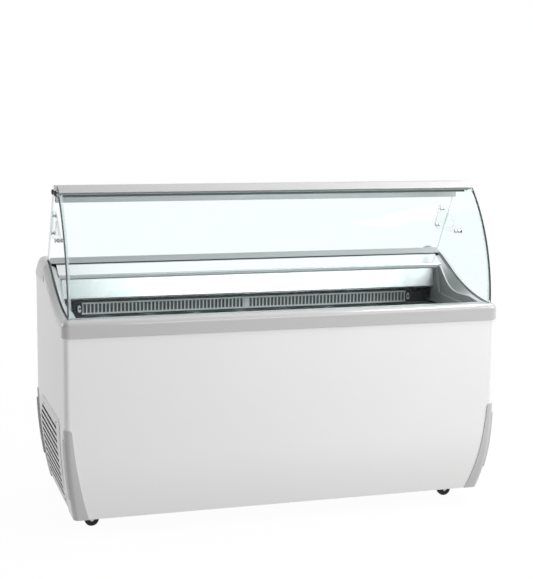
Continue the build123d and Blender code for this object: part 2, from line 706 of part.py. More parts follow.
def shelf_brackets():
    """Clear triangular brackets inside the side glass, open in the middle."""
    outer = rounded([(101, 1060), (37, 1066), (-60, 990), (-66, 966), (114, 964), (146, 972)], 7)
    hole = rounded([(24, 1036), (56, 983), (-26, 987)], 5)
    bracket = across(outer - hole, -BRACKET_X[1], -BRACKET_X[0])
    bolts = []
    for y, z in BRACKET_BOLTS:
        bracket -= rod((-750, y, z), (-720, y, z), BOLT_R + 0.2)
        bolt = rod((-BRACKET_X[1] - 1.5, y, z), (-BRACKET_X[0] + 6, y, z), BOLT_R)
        bolt += rod((-BRACKET_X[0], y, z), (-BRACKET_X[0] + 6, y, z), 7)
        bolt += rod((-BRACKET_X[1] - 3, y, z), (-BRACKET_X[1], y, z), 6)
        bolts.append(bolt)
    y, z = BRACKET_GLASS_BOLT
    bracket -= rod((-750, y, z), (-720, y, z), BOLT_R + 0.2)
    outer_face = SIDE_GLASS_X + GLASS
    bolt = rod((-outer_face - 2, y, z), (-BRACKET_X[0] + 6, y, z), BOLT_R)
    bolt += rod((-BRACKET_X[0], y, z), (-BRACKET_X[0] + 6, y, z), 7)
    bolt += rod((-outer_face - 2.5, y, z), (-outer_face, y, z), 7)
    bolt += rod((-SIDE_GLASS_X, y, z), (-BRACKET_X[1], y, z), 7)
    bolts.append(bolt)
    keep("shelf_brackets", both_sides(bracket))
    for y, z in CANOPY_BOLTS:
        bolt = rod((-outer_face - 2, y, z), (-BLOCK_IN - 2, y, z), BOLT_R)
        bolt += rod((-outer_face - 2.5, y, z), (-outer_face, y, z), 7)
        bolts.append(bolt)
    keep("glass_bolts", [solid for bolt in bolts for solid in both_sides(bolt)])


# ---- canopy ----
def canopy():
    """Aluminium cover over the side glasses, its end blocks, and the light under it."""
    cover = block((-CANOPY_X, CANOPY_X), (CANOPY_FRONT, CANOPY_BACK), (CANOPY_LOW, CANOPY_TOP))
    above = polygon((-200, CANOPY_TOP), (CANOPY_BACK, 1161), (0, 1159), (0, 1200), (-200, 1200))
    cover -= across(above, -HALF_W, HALF_W)
    upper_back = cover.edges().filter_by(Axis.X).group_by(Axis.Y)[-1].sort_by(Axis.Z)[-1]
    cover = fillet(upper_back, 6)
    inner = block(
        (-CANOPY_X + CANOPY_WALL, CANOPY_X - CANOPY_WALL),
        (CANOPY_FRONT + CANOPY_WALL, CANOPY_BACK - CANOPY_WALL),
        (CANOPY_LOW - 1, 1158),
    )
    cover -= inner
    for side in (-1, 1):
        x = sorted((side * 722, side * (CANOPY_X - CANOPY_WALL)))
        cover -= block(x, (CANOPY_FRONT - 1, CANOPY_FRONT + CANOPY_WALL + 1), (CANOPY_LOW - 1, 1161.5))
    keep("canopy_cover", cover)

    head = [(HINGE_Y - 5, 1149), (HINGE_Y - 5, 1160.3), (HINGE_Y + 2, 1160.3), (HINGE_Y + 2.5, 1157.8)]
    tail = [(-36, 1157.8), (-36, 1145.9), (-12, 1134), (0, 1122), (0, 1119), (-19, 1119)]
    outline = polygon(*head, *tail, (-34, 1128), (-88, 1128))
    end_block = across(outline, -BLOCK_OUT, -BLOCK_IN)
    end_block -= rod((-BLOCK_OUT + 2, HINGE_Y, HINGE_Z), (-720, HINGE_Y, HINGE_Z), HINGE_PIN_R)
    for y, z in CANOPY_BOLTS:
        end_block -= rod((-760, y, z), (-BLOCK_IN - 2, y, z), BOLT_R)
    keep("canopy_end_blocks", both_sides(end_block))

    housing = block((-734, 734), (-116, -89), (1126, CANOPY_LOW))
    housing -= block((-732, 732), (-114, -91), (1125, CANOPY_LOW - 2))
    housing -= across(polygon((-120, 1141), (-120, 1150), (-110, 1150)), -740, 740)
    keep("light_housing", housing)
    keep("light_diffuser", block((-731.5, 731.5), (-113.5, -91.5), (1127, 1131)))


def rails():
    """Upper rear rail, and the two-lipped lower rail on the worktop."""
    y, z = TOP_RAIL_Y, TOP_RAIL_Z
    top = block((-RIDGE_X, RIDGE_X), y, z)
    top -= block((-RIDGE_X - 1, RIDGE_X + 1), (y[0] + 2, y[0] + 8.5), (z[0] - 1, z[1] - 4))
    top -= block((-RIDGE_X - 1, RIDGE_X + 1), (y[1] - 8.5, y[1] - 2), (z[0] - 1, z[1] - 4))
    keep("rear_top_rail", top)
    base, web = DECK_Z + DECK_SHEET / 2, 872.5
    front_lip = [(RAIL_FRONT, base), (RAIL_FRONT, 879), (RAIL_FRONT + 2.5, 879), (RAIL_FRONT + 2.5, web)]
    middle_lip = [(124, web), (124, 884), (126, 884), (126, web)]
    back_lip = [(RAIL_REAR - 2.5, web), (RAIL_REAR - 2.5, 890), (RAIL_REAR, 890), (RAIL_REAR, base)]
    outline = polygon(*front_lip, *middle_lip, *back_lip)
    keep("rear_bottom_rail", across(outline, -RIDGE_X + 1, RIDGE_X - 1))


# ---- machinery ----
def machinery():
    """Compressor, condenser with its fan, and the pipes between them."""
    pot = Pos(-440, 30, 172) * Cylinder(78, 170)
    pot = fillet(pot.edges().sort_by(Axis.Z)[-1], 40)
    pot = fillet(pot.edges().sort_by(Axis.Z)[0], 12)
    foot = block((-540, -340), (-55, 115), (78, 87.5))
    pot += foot
    pot += block((-370, -330), (5, 55), (150, 210))
    feet = [rod((x, y, 68), (x, y, 78), 12) for x in (-525, -355) for y in (-40, 100)]
    keep("compressor", [pot, *feet])

    tubes = [(x, z) for x in (-690, -665) for z in (130, 165, 200, 235, 270, 305)]
    coil = finned_coil((-702, -652), (-110, 170), (110, 322), 29, tubes, 12, False)
    coil += block((-702, -652), (-110, 170), (100, 110.5))
    stand = block((-690, -664), (-110, 170), (TRAY_BOTTOM + SHEET, 100.5))
    keep("condenser_coil", coil + stand)

    plate = block((-640, -637), (FAN_Y - 120, FAN_Y + 120), (TRAY_BOTTOM + SHEET, 330))
    plate -= rod((-645, FAN_Y, FAN_Z), (-630, FAN_Y, FAN_Z), FAN_R + 5)
    spider = block((-592, -589), (FAN_Y - 120, FAN_Y + 120), (FAN_Z - 8, FAN_Z + 8))
    for y in (FAN_Y - 120, FAN_Y + 112):
        spider += block((-640, -589), (y, y + 8), (FAN_Z - 8, FAN_Z + 8))
    motor = rod((-592, FAN_Y, FAN_Z), (-560, FAN_Y, FAN_Z), 40)
    shaft = rod((-632, FAN_Y, FAN_Z), (-590, FAN_Y, FAN_Z), 4)
    keep("condenser_fan_mount", plate + spider + motor + shaft)
    fan = Pos(-618, FAN_Y, FAN_Z) * fan_wheel(FAN_R, 28, 26, 4 + RUNNING, 5)
    keep("condenser_fan", fan)
    keep("refrigerant_pipes", pipes())


def pipe(points, bend, radius):
    """Round pipe along straight runs and tangent bends."""
    path = FilletPolyline(*points, radius=bend)
    start = Plane(origin=path @ 0, z_dir=path % 0)
    return sweep(start * Circle(radius), path=path)


def pipes():
    """Discharge, liquid and suction lines; the last two end at the foam floor."""
    to_coil = [(-440, -48.5, 190), (-440, -150, 190), (-665, -150, 190)]
    into_coil = [(-665, -150, 305), (-665, -122.5, 305)]
    from_coil = [(-690, 182.5, 130), (-690, 215, 130), (-560, 215, 130), (-560, 215, 341)]
    back_down = [(-440, 108.5, 200), (-440, 160, 200), (-380, 160, 200), (-380, 160, 341)]
    return [pipe(to_coil + into_coil, 13, 4), pipe(from_coil, 14, 3), pipe(back_down, 14, 5)]


# ---- controls on the back ----
def controls():
    """Rear control plate with an electrical box behind it, a display, two keys and a rocker switch."""
    plate = block(CONTROL_X, CONTROL_Y, CONTROL_Z)
    plate = fillet(plate.edges().filter_by(Axis.Y), 6)
    plate += block((-670, -470), (296, PANEL_Y), (340, 400))
    plate -= block((-667, -473), (299, PANEL_Y), (343, 397))
    cut = (PANEL_Y - 1, PANEL_Y + 4)
    plate -= block((-640, -580), cut, (356, 380))
    half_x, half_z = KEY_SIZE[0] / 2, KEY_SIZE[1] / 2
    for x in KEY_X:
        across_x = (x - half_x - KEY_GAP, x + half_x + KEY_GAP)
        plate -= block(across_x, cut, (KEY_Z - half_z - KEY_GAP, KEY_Z + half_z + KEY_GAP))
    plate -= block((SWITCH_X - 8.5, SWITCH_X + 8.5), cut, (SWITCH_Z - 12.5, SWITCH_Z + 12.5))
    display = block((-639.5, -580.5), (PANEL_Y - 12, PANEL_Y + 2.5), (356.5, 379.5))
    keep("control_panel", [plate, display])
    for name, x in zip(("thermostat_key_down", "thermostat_key_up"), KEY_X):
        key = block((x - half_x, x + half_x), (PANEL_Y - 4, PANEL_Y + 4.8), (KEY_Z - half_z, KEY_Z + half_z))
        keep(name, fillet(key.edges().filter_by(Axis.Y), 1.5))
    rocker = block((-8, 8), (-7, 3), (-11.2, 11.2))
    rocker &= rod((-9, -2, 0), (9, -2, 0), 11.4)
    rocker = Pos(SWITCH_X, PANEL_Y, SWITCH_Z) * Rotation(-SWITCH_REST, 0, 0) * rocker
    keep("light_switch", rocker)


# ---- castors ----
def castor_parts():
    """Four swivel castors: plate with kingpin, fork with axle, wheel."""
    plates = []
    for y, depth in zip(CASTOR_Y, ("front", "rear")):
        for side, name in ((-1, "left"), (1, "right")):
            x = side * CASTOR_X
            plates.append(Pos(x, y, 0) * castor_plate())
            place = Pos(x, y, 0) * Rotation(0, 0, 0 if side > 0 else 180)
            keep(f"castor_fork_{depth}_{name}", [place * item for item in castor_fork()])
            keep(f"castor_wheel_{depth}_{name}", place * castor_wheel())
    keep("castor_plates", plates)


def castor_plate():
    """Fixing plate with the kingpin and its riveted head."""
    plate = block((-30, 30), (-30, 30), (TRAY_BOTTOM - 3, TRAY_BOTTOM))
    plate = fillet(plate.edges().filter_by(Axis.Z), 6)
    plate += rod((0, 0, FORK_TOP + 0.1), (0, 0, TRAY_BOTTOM - 3), 15)
    plate += rod((0, 0, 50), (0, 0, FORK_TOP), 5)
    plate += rod((0, 0, 50), (0, 0, FORK_TOP - 3.1), 8)
    for x in (-23, 23):
        for y in (-23, 23):
            plate -= rod((x, y, TRAY_BOTTOM - 4), (x, y, TRAY_BOTTOM + 1), 3)
    return plate + rod((0, 0, FORK_TOP), (0, 0, FORK_TOP + 1), 5)


def castor_fork():
    """Pressed fork and, as a second solid, the axle."""
    inner = WHEEL_HALF + 1.5
    outer = inner + 2
    top_face = make_hull([*Circle(15).edges(), *(Pos(TRAIL, 0) * Circle(outer)).edges()])
    crown = upright(Circle(19), FORK_TOP - 3, FORK_TOP) + upright(top_face, FORK_TOP - 3, FORK_TOP)
    leg_top = Polyline((2, FORK_TOP), (32, FORK_TOP))
    leg_face = make_hull([*(Pos(TRAIL, WHEEL_R) * Circle(7)).edges(), *leg_top.edges()])
    legs = through(leg_face, -outer, -inner) + through(leg_face, inner, outer)
    crown += legs
    crown -= rod((0, 0, 40), (0, 0, 70), 5 + RUNNING)
    crown -= rod((TRAIL, -20, WHEEL_R), (TRAIL, 20, WHEEL_R), AXLE_R)
    axle = rod((TRAIL, -outer, WHEEL_R), (TRAIL, outer, WHEEL_R), AXLE_R)
    axle += rod((TRAIL, -outer - 2.5, WHEEL_R), (TRAIL, -outer, WHEEL_R), 5)
    axle += rod((TRAIL, outer, WHEEL_R), (TRAIL, outer + 2.5, WHEEL_R), 5)
    return [crown, axle]


def castor_wheel():
    """Wheel with a raised hub and a rounded tread."""
    wheel = rod((TRAIL, -WHEEL_HALF, WHEEL_R), (TRAIL, WHEEL_HALF, WHEEL_R), WHEEL_R)
    wheel = fillet(wheel.edges(), 3)
    for side in (-1, 1):
        low, high = sorted((side * (WHEEL_HALF - 2), side * (WHEEL_HALF + 1)))
        ends = (TRAIL, low, WHEEL_R), (TRAIL, high, WHEEL_R)
        wheel -= rod(*ends, 17) - rod(*ends, 8)
    return wheel - rod((TRAIL, -20, WHEEL_R), (TRAIL, 20, WHEEL_R), AXLE_R + RUNNING)


casing_panels()
corner_guards()
front_rim()
side_mouldings()
base_tray()
side_vent()
insulation()
tub_liner()
side_liners()
rear_worktop()
inner_back_wall()
air_outlet()
pan_frame()
evaporator()
front_glass()
side_glass()
shelf_brackets()
canopy()
rails()
machinery()
controls()
castor_parts()

os.makedirs("parts", exist_ok=True)
for name, shape in pieces.items():
    export_step(shape, f"parts/{name}.step")
    print(name, len(shape.solids()), round(shape.volume))
print(len(pieces), "pieces")
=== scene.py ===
"""Looks of an ice cream dipping cabinet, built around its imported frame. Metres; +X right, -Y front, +Z up."""

import json
import math

import bmesh
import bpy
from mathutils import Matrix, Vector


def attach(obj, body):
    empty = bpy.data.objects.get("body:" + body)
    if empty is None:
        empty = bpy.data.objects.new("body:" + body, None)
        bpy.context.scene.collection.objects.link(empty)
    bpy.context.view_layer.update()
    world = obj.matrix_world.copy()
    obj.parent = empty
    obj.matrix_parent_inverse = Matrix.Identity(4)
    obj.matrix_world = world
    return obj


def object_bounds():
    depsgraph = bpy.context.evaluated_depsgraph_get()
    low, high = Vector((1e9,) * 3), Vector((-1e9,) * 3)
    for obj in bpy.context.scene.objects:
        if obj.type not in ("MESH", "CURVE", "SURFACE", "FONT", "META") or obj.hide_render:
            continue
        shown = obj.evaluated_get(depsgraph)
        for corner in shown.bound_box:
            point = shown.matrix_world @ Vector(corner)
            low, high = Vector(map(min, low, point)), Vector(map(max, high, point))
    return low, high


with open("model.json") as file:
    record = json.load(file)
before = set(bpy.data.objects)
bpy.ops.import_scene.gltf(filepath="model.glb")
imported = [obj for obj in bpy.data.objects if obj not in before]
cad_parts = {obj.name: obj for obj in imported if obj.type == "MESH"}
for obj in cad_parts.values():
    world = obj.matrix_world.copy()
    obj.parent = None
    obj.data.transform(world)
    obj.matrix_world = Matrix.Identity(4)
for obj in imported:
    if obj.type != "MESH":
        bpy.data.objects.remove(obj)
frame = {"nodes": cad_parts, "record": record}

CAD_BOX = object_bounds()
NODES = frame["nodes"]
SLOT_OF = {row["node"]: row["material_slot"] for row in frame["record"]["subparts"]}
MM = 0.001
WHITE = (1.0, 1.0, 1.0, 1.0)

# ---- camera ----
EYE = Vector((-1.402, -4.546, 1.517))
YAW, PITCH, ROLL = (math.radians(angle) for angle in (17.32, 8.91, 0.679))
LENS = 82.65


def make_camera():
    """Camera at the viewing angle: yaw from +Y towards +X, pitch downwards, slight roll."""
    data = bpy.data.cameras.new("camera")
    data.sensor_width = 36.0
    data.lens = LENS
    data.clip_start = 0.1
    data.clip_end = 200.0
    forward = Vector((math.sin(YAW) * math.cos(PITCH), math.cos(YAW) * math.cos(PITCH), -math.sin(PITCH)))
    level = Vector((math.cos(YAW), -math.sin(YAW), 0.0))
    up = level.cross(forward)
    right = level * math.cos(ROLL) + up * math.sin(ROLL)
    up = up * math.cos(ROLL) - level * math.sin(ROLL)
    turn = Matrix((right, up, -forward)).transposed().to_4x4()
    camera = bpy.data.objects.new("camera", data)
    bpy.context.scene.collection.objects.link(camera)
    camera.matrix_world = Matrix.Translation(EYE) @ turn
    bpy.context.scene.camera = camera


# ---- node-tree helpers ----
def add(tree, kind, inputs=None, **settings):
    """A new shader node with its settings and input values."""
    node = tree.nodes.new(kind)
    for key, value in settings.items():
        setattr(node, key, value)
    for key, value in (inputs or {}).items():
        if isinstance(value, bpy.types.NodeSocket):
            tree.links.new(value, node.inputs[key])
        else:
            node.inputs[key].default_value = value
    return node


def principled(name, colour, roughness, metallic=0.0):
    """A material with a Principled shader, and that shader."""
    material = bpy.data.materials.new(name)
    material.use_nodes = True
    shader = material.node_tree.nodes["Principled BSDF"]
    shader.inputs["Base Color"].default_value = (*colour, 1.0)
    shader.inputs["Roughness"].default_value = roughness
    shader.inputs["Metallic"].default_value = metallic
    return material, material.node_tree, shader


def place(tree, stretch=(1.0, 1.0, 1.0)):
    """Object coordinates in metres, scaled along each axis."""
    source = add(tree, "ShaderNodeTexCoord")
    return add(tree, "ShaderNodeMapping", {"Vector": source.outputs["Object"], "Scale": stretch}).outputs[0]


def noise(tree, vector, scale, detail=3.0, roughness=0.5):
    """Smooth noise from 0 to 1."""
    inputs = {"Vector": vector, "Scale": scale, "Detail": detail, "Roughness": roughness}
    return add(tree, "ShaderNodeTexNoise", inputs).outputs["Fac"]


def spread(tree, value, low, high, start=0.3, end=0.7):
    """The value carried from start..end to low..high."""
    inputs = {"Value": value, "From Min": start, "From Max": end, "To Min": low, "To Max": high}
    return add(tree, "ShaderNodeMapRange", inputs).outputs[0]


def blend_colours(tree, factor, first, second):
    """A colour between two, by a factor."""
    node = add(tree, "ShaderNodeMix", data_type="RGBA")
    if isinstance(factor, bpy.types.NodeSocket):
        tree.links.new(factor, node.inputs["Factor"])
    else:
        node.inputs["Factor"].default_value = factor
    for index, colour in ((6, first), (7, second)):
        if isinstance(colour, bpy.types.NodeSocket):
            tree.links.new(colour, node.inputs[index])
        else:
            node.inputs[index].default_value = (*colour, 1.0)
    return node.outputs[2]


def relief(tree, shader, height, strength, depth):
    """Bump from a height of 0 to 1, depth metres deep."""
    inputs = {"Height": height, "Strength": strength, "Distance": depth}
    bump = add(tree, "ShaderNodeBump", inputs)
    tree.links.new(bump.outputs[0], shader.inputs["Normal"])


def tone(tree, shader, colour, amount, factor):
    """Base colour that wanders a little to either side of a colour."""
    darker = [channel * (1 - amount) for channel in colour]
    lighter = [min(1.0, channel * (1 + amount)) for channel in colour]
    tree.links.new(blend_colours(tree, factor, darker, lighter), shader.inputs["Base Color"])


def rough(tree, shader, value, low, high):
    """Roughness that follows a noise value."""
    tree.links.new(spread(tree, value, low, high), shader.inputs["Roughness"])


# ---- materials ----
def painted_sheet():
    """White powder-coated steel: fine orange peel, faint cloudiness in the gloss."""
    colour = (0.86, 0.86, 0.857)
    material, tree, shader = principled("painted_sheet", colour, 0.34)
    cloud = noise(tree, place(tree), 3.5, 4.0)
    peel = noise(tree, place(tree), 620.0, 2.0)
    tone(tree, shader, colour, 0.012, cloud)
    rough(tree, shader, cloud, 0.30, 0.40)
    relief(tree, shader, peel, 0.10, 0.15 * MM)
    shader.inputs["Coat Weight"].default_value = 0.25
    shader.inputs["Coat Roughness"].default_value = 0.22
    return material


def moulded(name, colour, low, high, grain=1400.0):
    """Injection-moulded plastic: fine spark grain, slight flow tone and a few rubbed patches."""
    material, tree, shader = principled(name, colour, low)
    flow = noise(tree, place(tree, (1.0, 2.5, 1.0)), 5.0, 4.0)
    spark = noise(tree, place(tree), grain, 2.0, 0.7)
    rubbed = noise(tree, place(tree), 28.0, 5.0, 0.62)
    tone(tree, shader, colour, 0.006, flow)
    rough(tree, shader, rubbed, low, high)
    relief(tree, shader, spark, 0.12, 0.08 * MM)
    return material


def glossy_moulding():
    """Grey moulded rim plastic with a polished skin."""
    material = moulded("grey_moulding", (0.54, 0.54, 0.538), 0.22, 0.26)
    shader = material.node_tree.nodes["Principled BSDF"]
    shader.inputs["Coat Weight"].default_value = 0.9
    shader.inputs["Coat Roughness"].default_value = 0.09
    return material


def brushed(name, colour, low, high, turn=(1.0, 260.0, 260.0), strength=0.16):
    """Rolled metal brushed along X: long fine scratches in colour, gloss and relief."""
    material, tree, shader = principled(name, colour, low, 1.0)
    lines = noise(tree, place(tree, turn), 4.0, 5.0, 0.7)
    broad = noise(tree, place(tree, (turn[0] * 2, turn[1] / 12, turn[2] / 12)), 3.0, 3.0)
    both = add(tree, "ShaderNodeMath", {0: lines, 1: broad}, operation="ADD").outputs[0]
    half = add(tree, "ShaderNodeMath", {0: both, 1: 0.5}, operation="MULTIPLY").outputs[0]
    tone(tree, shader, colour, 0.07, half)
    rough(tree, shader, half, low, high)
    relief(tree, shader, lines, strength, 0.03 * MM)
    shader.inputs["Anisotropic"].default_value = 0.55
    shader.inputs["Anisotropic Rotation"].default_value = 0.25
    tangent = add(tree, "ShaderNodeTangent", direction_type="RADIAL", axis="X")
    tree.links.new(tangent.outputs[0], shader.inputs["Tangent"])
    return material


def satin_anodised(name, grey):
    """Satin aluminium profile: matt, with faint drawing lines along X."""
    colour = (grey, grey, grey)
    material, tree, shader = principled(name, colour, 0.45, 0.05)
    lines = noise(tree, place(tree, (1.0, 260.0, 260.0)), 4.0, 5.0, 0.7)
    tone(tree, shader, colour, 0.05, lines)
    rough(tree, shader, lines, 0.40, 0.50)
    relief(tree, shader, lines, 0.06, 0.03 * MM)
    return material


def galvanised():
    """Zinc-coated sheet with spangle."""
    colour = (0.58, 0.6, 0.61)
    material, tree, shader = principled("galvanised_sheet", colour, 0.4, 1.0)
    cells = add(tree, "ShaderNodeTexVoronoi", {"Vector": place(tree), "Scale": 90.0})
    grey = add(tree, "ShaderNodeSeparateColor", {"Color": cells.outputs["Color"]}).outputs[0]
    tone(tree, shader, colour, 0.12, grey)
    tree.links.new(spread(tree, grey, 0.32, 0.52, 0.0, 1.0), shader.inputs["Roughness"])
    relief(tree, shader, noise(tree, place(tree), 300.0), 0.1, 0.05 * MM)
    return material


def plated(name, colour, low, high):
    """Bright plating with fine pitting and handling haze."""
    material, tree, shader = principled(name, colour, low, 1.0)
    haze = noise(tree, place(tree), 120.0, 4.0, 0.6)
    tone(tree, shader, colour, 0.06, haze)
    rough(tree, shader, haze, low, high)
    relief(tree, shader, noise(tree, place(tree), 1800.0), 0.12, 0.04 * MM)
    return material


def copper_tube():
    """Drawn copper with brown oxide patches."""
    material, tree, shader = principled("copper_tube", (0.75, 0.38, 0.22), 0.28, 1.0)
    patches = noise(tree, place(tree), 45.0, 5.0, 0.65)
    oxide = spread(tree, patches, 0.0, 1.0, 0.45, 0.7)
    colour = blend_colours(tree, oxide, (0.78, 0.41, 0.25), (0.36, 0.17, 0.10))
    tree.links.new(colour, shader.inputs["Base Color"])
    rough(tree, shader, patches, 0.2, 0.45)
    relief(tree, shader, noise(tree, place(tree), 900.0), 0.1, 0.04 * MM)
    return material


def dull(name, colour, low, high, grain, depth):
    """Rubber, textured plastic or enamel: broken gloss over a fine grain."""
    material, tree, shader = principled(name, colour, low)
    patches = noise(tree, place(tree), 60.0, 4.0, 0.6)
    tone(tree, shader, colour, 0.15, patches)
    rough(tree, shader, patches, low, high)
    relief(tree, shader, noise(tree, place(tree), grain, 2.0, 0.7), 0.25, depth)
    return material


def foam():
    """Cellular polyurethane foam."""
    colour = (0.74, 0.72, 0.66)
    material, tree, shader = principled("foam", colour, 0.9)
    cells = add(tree, "ShaderNodeTexVoronoi", {"Vector": place(tree), "Scale": 450.0}).outputs["Distance"]
    tone(tree, shader, colour, 0.1, noise(tree, place(tree), 12.0, 4.0))
    relief(tree, shader, cells, 0.5, 0.6 * MM)
    return material


GLASS_IOR = 1.5
PANE_ROUGHNESS = 0.02
BROAD_FACE = 0.6  # a face whose normal leans more than this towards X lies across X


def see_through(name, tint, edge_colour, edge_cover, edge_axis_is_face, most_mirror, haze=0.0):
    """Clear pane: tinted view, mirror reflection by angle up to a limit, and a ground edge.

    edge_cover is how much the edge hides; edge_axis_is_face says whether faces across X are the
    pane's broad faces (a side pane) or its edges."""
    material = bpy.data.materials.new(name)
    material.use_nodes = True
    tree = material.node_tree
    tree.nodes.clear()
    clear = add(tree, "ShaderNodeBsdfTransparent", {"Color": (*tint, 1.0)})
    gloss = add(tree, "ShaderNodeBsdfGlossy", {"Roughness": PANE_ROUGHNESS + haze, "Color": WHITE})
    waves = noise(tree, place(tree), 2.2, 2.0)
    bump = add(tree, "ShaderNodeBump", {"Height": waves, "Strength": 0.04, "Distance": 1.0 * MM})
    tree.links.new(bump.outputs[0], gloss.inputs["Normal"])
    behind = add(tree, "ShaderNodeNewGeometry").outputs["Backfacing"]
    ior = spread(tree, behind, GLASS_IOR, 1.0 / GLASS_IOR, 0.0, 1.0)
    by_angle = add(tree, "ShaderNodeFresnel", {"IOR": ior}).outputs[0]
    mirror = add(tree, "ShaderNodeMath", {0: by_angle, 1: most_mirror}, operation="MINIMUM").outputs[0]
    pane = add(tree, "ShaderNodeMixShader", {0: mirror, 1: clear.outputs[0], 2: gloss.outputs[0]})
    edge = add(tree, "ShaderNodeBsdfPrincipled", {"Base Color": (*edge_colour, 1.0), "Roughness": 0.3})
    source = add(tree, "ShaderNodeTexCoord")
    across = add(tree, "ShaderNodeSeparateXYZ", {"Vector": source.outputs["Normal"]}).outputs[0]
    size = add(tree, "ShaderNodeMath", {0: across}, operation="ABSOLUTE").outputs[0]
    compare = "LESS_THAN" if edge_axis_is_face else "GREATER_THAN"
    is_edge = add(tree, "ShaderNodeMath", {0: size, 1: BROAD_FACE}, operation=compare).outputs[0]
    hides = add(tree, "ShaderNodeMath", {0: is_edge, 1: edge_cover}, operation="MULTIPLY").outputs[0]
    whole = add(tree, "ShaderNodeMixShader", {0: hides, 1: pane.outputs[0], 2: edge.outputs[0]})
    output = add(tree, "ShaderNodeOutputMaterial")
    tree.links.new(whole.outputs[0], output.inputs["Surface"])
    return material


def diffuser():
    """Translucent white cover of the light, with fine prisms along it."""
    material, tree, shader = principled("diffuser", (0.9, 0.92, 0.92), 0.35)
    prisms = add(tree, "ShaderNodeTexWave", {"Vector": place(tree), "Scale": 160.0}, bands_direction="Y")
    relief(tree, shader, prisms.outputs["Fac"], 0.3, 0.3 * MM)
    rough(tree, shader, noise(tree, place(tree), 80.0), 0.3, 0.45)
    shader.inputs["Transmission Weight"].default_value = 0.35
    return material


def soft_clear():
    """Milky clear seal that lets some of what is behind it through."""
    colour = (0.84, 0.87, 0.87)
    material, tree, shader = principled("clear_seal", colour, 0.3)
    tone(tree, shader, colour, 0.05, noise(tree, place(tree), 70.0))
    rough(tree, shader, noise(tree, place(tree), 200.0), 0.25, 0.4)
    shader.inputs["Alpha"].default_value = 0.4
    return material


def glowing():
    """Red segments of the temperature display, a little uneven."""
    material, tree, shader = principled("display_segments", (0.5, 0.02, 0.01), 0.4)
    shader.inputs["Emission Color"].default_value = (1.0, 0.09, 0.03, 1.0)
    uneven = spread(tree, noise(tree, place(tree), 160.0), 1.3, 1.9)
    tree.links.new(uneven, shader.inputs["Emission Strength"])
    return material


GLASS_TINT = (0.970, 1.0, 0.999)
SIDE_TINT = (0.988, 1.0, 0.999)
MATERIALS = {
    "white_panel": painted_sheet(),
    "white_moulding": moulded("white_moulding", (0.70, 0.70, 0.698), 0.32, 0.44),
    "grey_moulding": glossy_moulding(),
    "vent_plastic": moulded("vent_plastic", (0.74, 0.74, 0.74), 0.4, 0.52),
    "liner_moulding": moulded("liner_moulding", (0.56, 0.575, 0.575), 0.34, 0.42),
    "brushed_steel": brushed("brushed_steel", (0.68, 0.69, 0.695), 0.19, 0.28),
    "outlet_steel": moulded("outlet_plate", (0.84, 0.85, 0.85), 0.3, 0.42),
    "galvanised_steel": galvanised(),
    "anodised_aluminium": brushed("anodised_aluminium", (0.50, 0.502, 0.502), 0.30, 0.40, strength=0.08),
    "fin_aluminium": brushed("fin_aluminium", (0.50, 0.505, 0.51), 0.4, 0.55),
    "bright_zinc": plated("bright_zinc", (0.66, 0.67, 0.68), 0.2, 0.36),
    "copper": copper_tube(),
    "clear_glass": see_through("side_glass", SIDE_TINT, (0.66, 0.72, 0.71), 0.45, True, 0.0015),
    "clear_acrylic": see_through("acrylic", (0.97, 0.98, 0.98), (0.74, 0.77, 0.77), 0.4, True, 0.01, 0.02),
    "light_diffuser": diffuser(),
    "foam": foam(),
    "black_rubber": dull("black_rubber", (0.022, 0.022, 0.023), 0.55, 0.75, 700.0, 0.2 * MM),
    "black_plastic": dull("black_plastic", (0.028, 0.028, 0.03), 0.4, 0.55, 1500.0, 0.08 * MM),
    "black_enamel": dull("black_enamel", (0.02, 0.02, 0.021), 0.22, 0.38, 400.0, 0.1 * MM),
    "control_plastic": dull("control_plastic", (0.055, 0.055, 0.06), 0.42, 0.55, 1700.0, 0.08 * MM),
    "key_plastic": moulded("key_plastic", (0.66, 0.66, 0.66), 0.4, 0.5),
}

# Materials of single pieces that differ from the rest of their slot.
FRONT_GLASS = see_through("front_glass", GLASS_TINT, (0.05, 0.075, 0.072), 1.0, False, 0.0015)
# Light housing in near-black brushed metal: painted shade of the dark band under the canopy.
HOUSING_SHADE = brushed("housing_painted_shade", (0.11, 0.12, 0.12), 0.34, 0.46, strength=0.08)
# Near-black plate on both outlet ends: painted shade of an end in shadow.
OUTLET_END_SHADE = dull("outlet_end_painted_shade", (0.075, 0.077, 0.08), 0.4, 0.5, 1400.0, 0.06 * MM)
# Grey sheet close behind the outlet slots: painted shade of the duct behind them.
SLOT_SHADE = dull("slot_painted_shade", (0.17, 0.175, 0.175), 0.4, 0.55, 1200.0, 0.08 * MM)
WHITE_CLIP = moulded("white_clip", (0.92, 0.92, 0.91), 0.3, 0.38)
SEAL_RUBBER = dull("seal_rubber", (0.14, 0.145, 0.145), 0.45, 0.6, 900.0, 0.1 * MM)
SEAL_STRIP = dull("seal_strip", (0.30, 0.31, 0.31), 0.4, 0.55, 900.0, 0.1 * MM)
PROFILE = satin_anodised("satin_anodised", 0.54)
# Paler copy of the satin profile for the lower rear rail: painted light on its front face.
RAIL_LIT_PROFILE = satin_anodised("anodised_painted_light", 0.63)
SEAL = soft_clear()
SEGMENTS = glowing()


OWN_MATERIAL = {
    "front_glass": FRONT_GLASS,
    # painted shade under the canopy
    "light_housing": HOUSING_SHADE,
    # painted shade on the outlet's ends
    "air_outlet_ends": OUTLET_END_SHADE,
    "side_glass_seals": SEAL_STRIP,
    "canopy_cover": PROFILE,
    "glass_top_profile": PROFILE,
    # painted light on the rail's front face
    "rear_bottom_rail": RAIL_LIT_PROFILE,
}


def dress_nodes():
    """Give every CAD node the material of its slot, or its own."""
    for name, node in NODES.items():
        material = OWN_MATERIAL.get(name) or MATERIALS[SLOT_OF[name]]
        if not node.material_slots:
            node.data.materials.append(material)
        for slot in node.material_slots:
            slot.material = material


